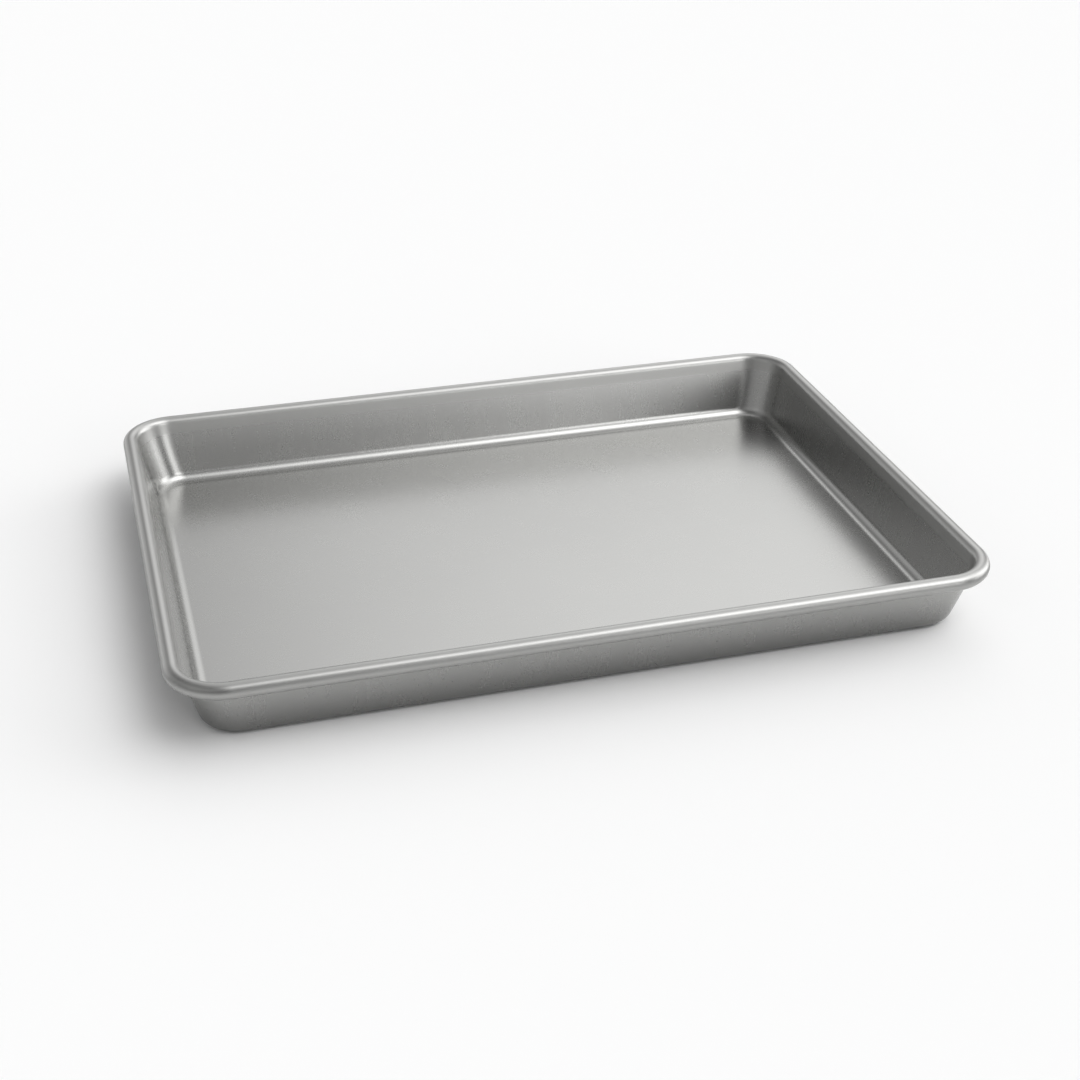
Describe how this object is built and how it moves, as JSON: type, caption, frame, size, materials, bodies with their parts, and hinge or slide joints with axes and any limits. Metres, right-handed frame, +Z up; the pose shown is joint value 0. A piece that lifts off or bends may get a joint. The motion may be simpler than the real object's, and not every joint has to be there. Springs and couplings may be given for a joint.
{
  "type": "jelly roll pan",
  "caption": "Shallow rectangular steel baking tray with leaning walls, rounded corners and a stout edge rolled outwards over a hidden stiffening wire.",
  "frame": {"origin": "centre of the underside of the floor, where the pan rests", "axes": "+X along the pan's length, +Y across its width, +Z up out of its open top"},
  "size_m": [0.33, 0.241, 0.0296],
  "materials": {
    "sheet_steel": "satin, faintly mottled plated sheet",
    "wire_steel": "drawn wire, dull zinc grey"
  },
  "bodies": {
    "root": {"pan_body": "sheet_steel", "rim_wire": "wire_steel"}
  },
  "joints": []
}
